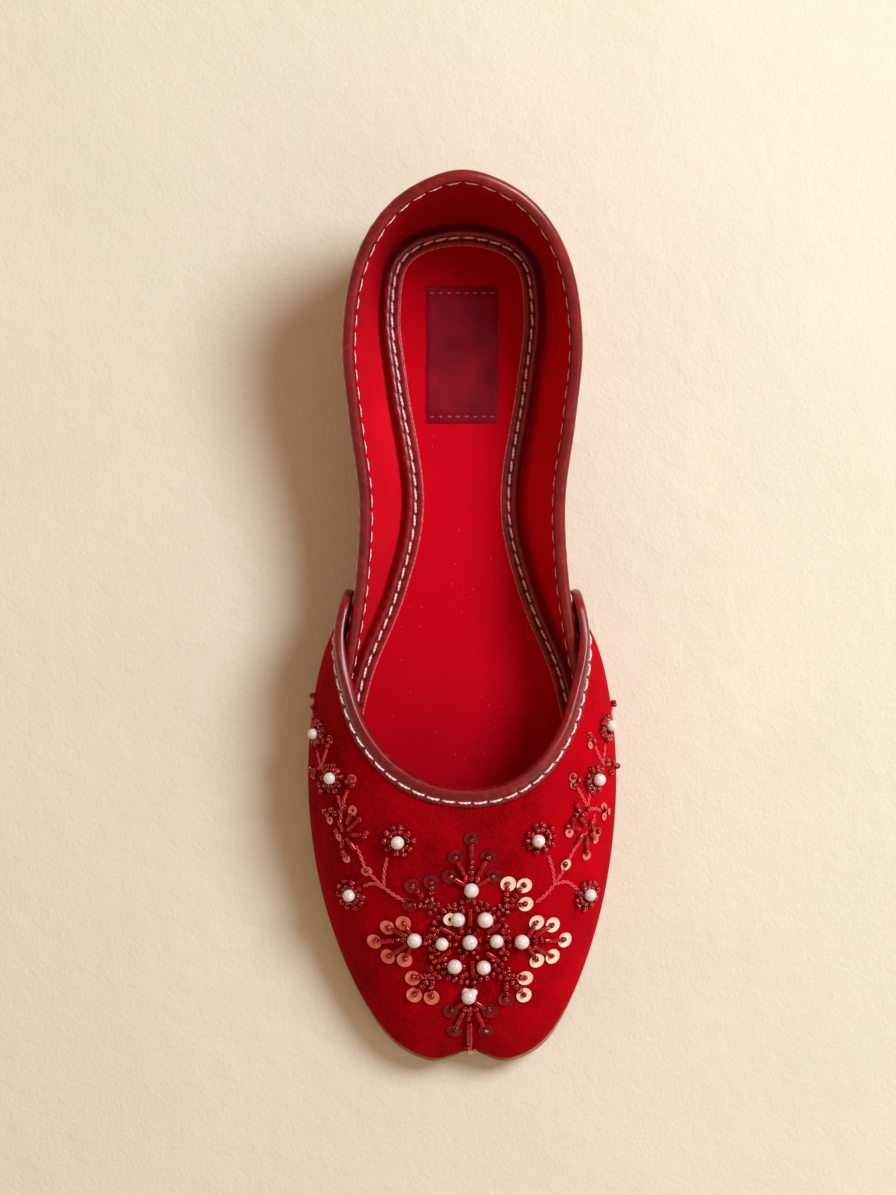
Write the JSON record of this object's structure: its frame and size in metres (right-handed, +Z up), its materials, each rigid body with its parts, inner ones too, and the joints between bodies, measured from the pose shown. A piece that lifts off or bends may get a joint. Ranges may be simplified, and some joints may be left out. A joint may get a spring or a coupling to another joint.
{
  "type": "mojari shoe",
  "caption": "Flat slip-on mojari shoe: velvet vamp with beadwork over a low flared quarter, leather-bound edges, waisted bound insole and a thin leather sole with a low heel.",
  "frame": {"origin": "on the ground, under the middle of the shoe's bounding box", "axes": "+Z up, +Y from toe to heel, +X to the left of a wearer looking towards the toe"},
  "size_m": [0.0894, 0.2544, 0.0583],
  "materials": {
    "sole_leather": "matt tan sole leather",
    "binding_leather": "maroon leather with a soft gloss",
    "velvet": "short red velvet pile",
    "lining": "smooth red lining",
    "insole_felt": "matt red felt",
    "label": "maroon woven ribbon",
    "thread": "waxed sewing thread",
    "pearl": "pearly gloss",
    "glass_bead": "ruby glass, high gloss",
    "sequin": "polished rose gold foil",
    "gold_bead": "polished gold"
  },
  "bodies": {
    "root": {"outsole": "sole_leather", "insole": "insole_felt", "insole_binding": "binding_leather", "upper": "velvet", "throat_binding": "binding_leather", "collar_binding": "binding_leather"}
  },
  "joints": []
}
